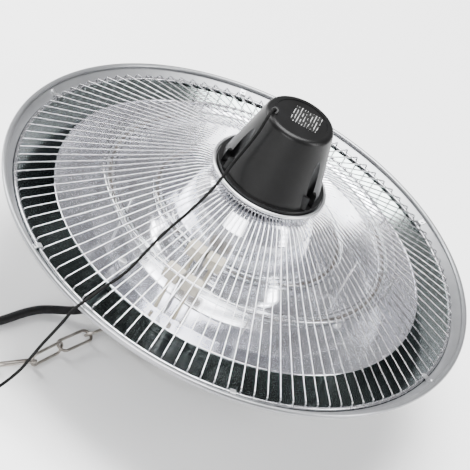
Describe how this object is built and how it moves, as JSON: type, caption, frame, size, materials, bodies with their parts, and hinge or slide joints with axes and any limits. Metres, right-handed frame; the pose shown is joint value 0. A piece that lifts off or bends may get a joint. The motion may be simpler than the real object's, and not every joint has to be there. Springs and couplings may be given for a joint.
{
  "type": "ring-lamp hanging heater",
  "caption": "Shallow conical hanging heater head: two ring lamps before a reflector, radial wire guard, black centre cover, side bail with a chain, pull cord and mains lead.",
  "frame": {"origin": "centre of the back housing's flat face, on which the head stands", "axes": "+Z is the head's axis, out of the open mouth and toward the centre cover; the lead leaves toward -X and -Y"},
  "size_m": [0.4776, 0.4801, 0.2528],
  "materials": {
    "shade_paint": "satin",
    "reflector": "polished",
    "guard": "polished",
    "cover_black": "satin",
    "zinc": "satin",
    "lamp_glass": "clear",
    "filament": "matt",
    "ceramic": "matt",
    "sleeving": "matt",
    "lead_black": "satin",
    "cord_black": "braided",
    "chain_steel": "satin",
    "label": "printed",
    "brass": "satin",
    "pin_nickel": "satin"
  },
  "bodies": {
    "fixture": {"shade_shell": "shade_paint", "back_housing": "cover_black", "housing_screws": "zinc", "terminal_block": "ceramic", "terminal_screws": "brass", "centre_column": "zinc", "reflector_cone": "reflector", "reflector_dish": "reflector", "reflector_spacers": "zinc", "spacer_screws": "zinc", "guard_wires": "guard", "guard_outer_ring": "guard", "guard_middle_ring": "guard", "guard_inner_ring": "guard", "guard_seat": "zinc", "rim_clips": "zinc", "clip_rivets": "zinc", "outer_lamp_tube": "lamp_glass", "inner_lamp_tube": "lamp_glass", "outer_filament": "filament", "inner_filament": "filament", "lamp_ends": "ceramic", "end_plates": "zinc", "lamp_wires": "sleeving", "lamp_supports": "zinc", "collar_plate": "zinc", "column_nut": "zinc", "hub_cover": "cover_black", "cover_screws": "zinc", "rating_plate": "label", "cord_bushing": "cover_black", "switch_base": "zinc", "switch_body": "cover_black", "gland_body": "lead_black", "gland_lock_nut": "lead_black", "gland_cap": "lead_black", "mains_lead": "lead_black", "lead_tail": "lead_black", "lead_coil": "lead_black", "coil_tie": "lead_black", "plug_boot": "lead_black", "plug_body": "lead_black", "plug_pins": "pin_nickel", "plug_earth_clips": "pin_nickel", "pull_cord": "cord_black", "pull_knob": "cover_black"},
    "bail": {"bail": "chain_steel"},
    "link_1": {"chain_link_1": "chain_steel"},
    "link_2": {"chain_link_2": "chain_steel"},
    "link_3": {"chain_link_3": "chain_steel"},
    "link_4": {"chain_link_4": "chain_steel"},
    "link_5": {"chain_link_5": "chain_steel"},
    "link_6": {"chain_link_6": "chain_steel"},
    "hook": {"snap_hook": "chain_steel", "gate_pin": "zinc"},
    "gate": {"hook_gate": "zinc"},
    "switch_lever": {"switch_lever": "brass"}
  },
  "joints": [
    {"name": "bail_swing", "type": "hinge", "parent": "fixture", "child": "bail", "pos_m": [0, 0, 0.0066], "axis": [0.6934, -0.7206, 0], "range_deg": [0, 180]},
    {"name": "link_1_swing", "type": "hinge", "parent": "bail", "child": "link_1", "pos_m": [-0.05505, -0.05298, 0.0066], "axis": [-0.891, 0.454, 0], "range_deg": [-20, 8]},
    {"name": "link_2_swing", "type": "hinge", "parent": "link_1", "child": "link_2", "pos_m": [-0.06954, -0.08142, 0.0068], "axis": [-0.91, 0.4147, 0], "range_deg": [-20, 8]},
    {"name": "link_3_swing", "type": "hinge", "parent": "link_2", "child": "link_3", "pos_m": [-0.08416, -0.1135, 0.0068], "axis": [-0.9272, 0.3746, 0], "range_deg": [-20, 8]},
    {"name": "link_4_swing", "type": "hinge", "parent": "link_3", "child": "link_4", "pos_m": [-0.09737, -0.14618, 0.0068], "axis": [-0.7547, 0.6561, 0], "range_deg": [-20, 8]},
    {"name": "link_5_swing", "type": "hinge", "parent": "link_4", "child": "link_5", "pos_m": [-0.12049, -0.17278, 0.0068], "axis": [-0.6691, 0.7431, 0], "range_deg": [-20, 8]},
    {"name": "link_6_swing", "type": "hinge", "parent": "link_5", "child": "link_6", "pos_m": [-0.14669, -0.19637, 0.0068], "axis": [-0.6157, 0.788, 0], "range_deg": [-20, 8]},
    {"name": "hook_swing", "type": "hinge", "parent": "link_6", "child": "hook", "pos_m": [-0.17417, -0.21784, 0.0068], "axis": [-0.5592, 0.829, 0], "range_deg": [-20, 8]},
    {"name": "gate_swing", "type": "hinge", "parent": "hook", "child": "gate", "pos_m": [-0.17732, -0.23225, 0.00878], "axis": [-0.1774, 0.1722, 0.969], "range_deg": [-25, 0], "stiffness_Nm_per_rad": 0.02, "springref_deg": 6.88},
    {"name": "lever_swing", "type": "hinge", "parent": "fixture", "child": "switch_lever", "pos_m": [-0.009, -0.006, 0.21065], "axis": [0, 1, 0], "range_deg": [0, 18], "stiffness_Nm_per_rad": 0.05, "springref_deg": -5.73}
  ]
}
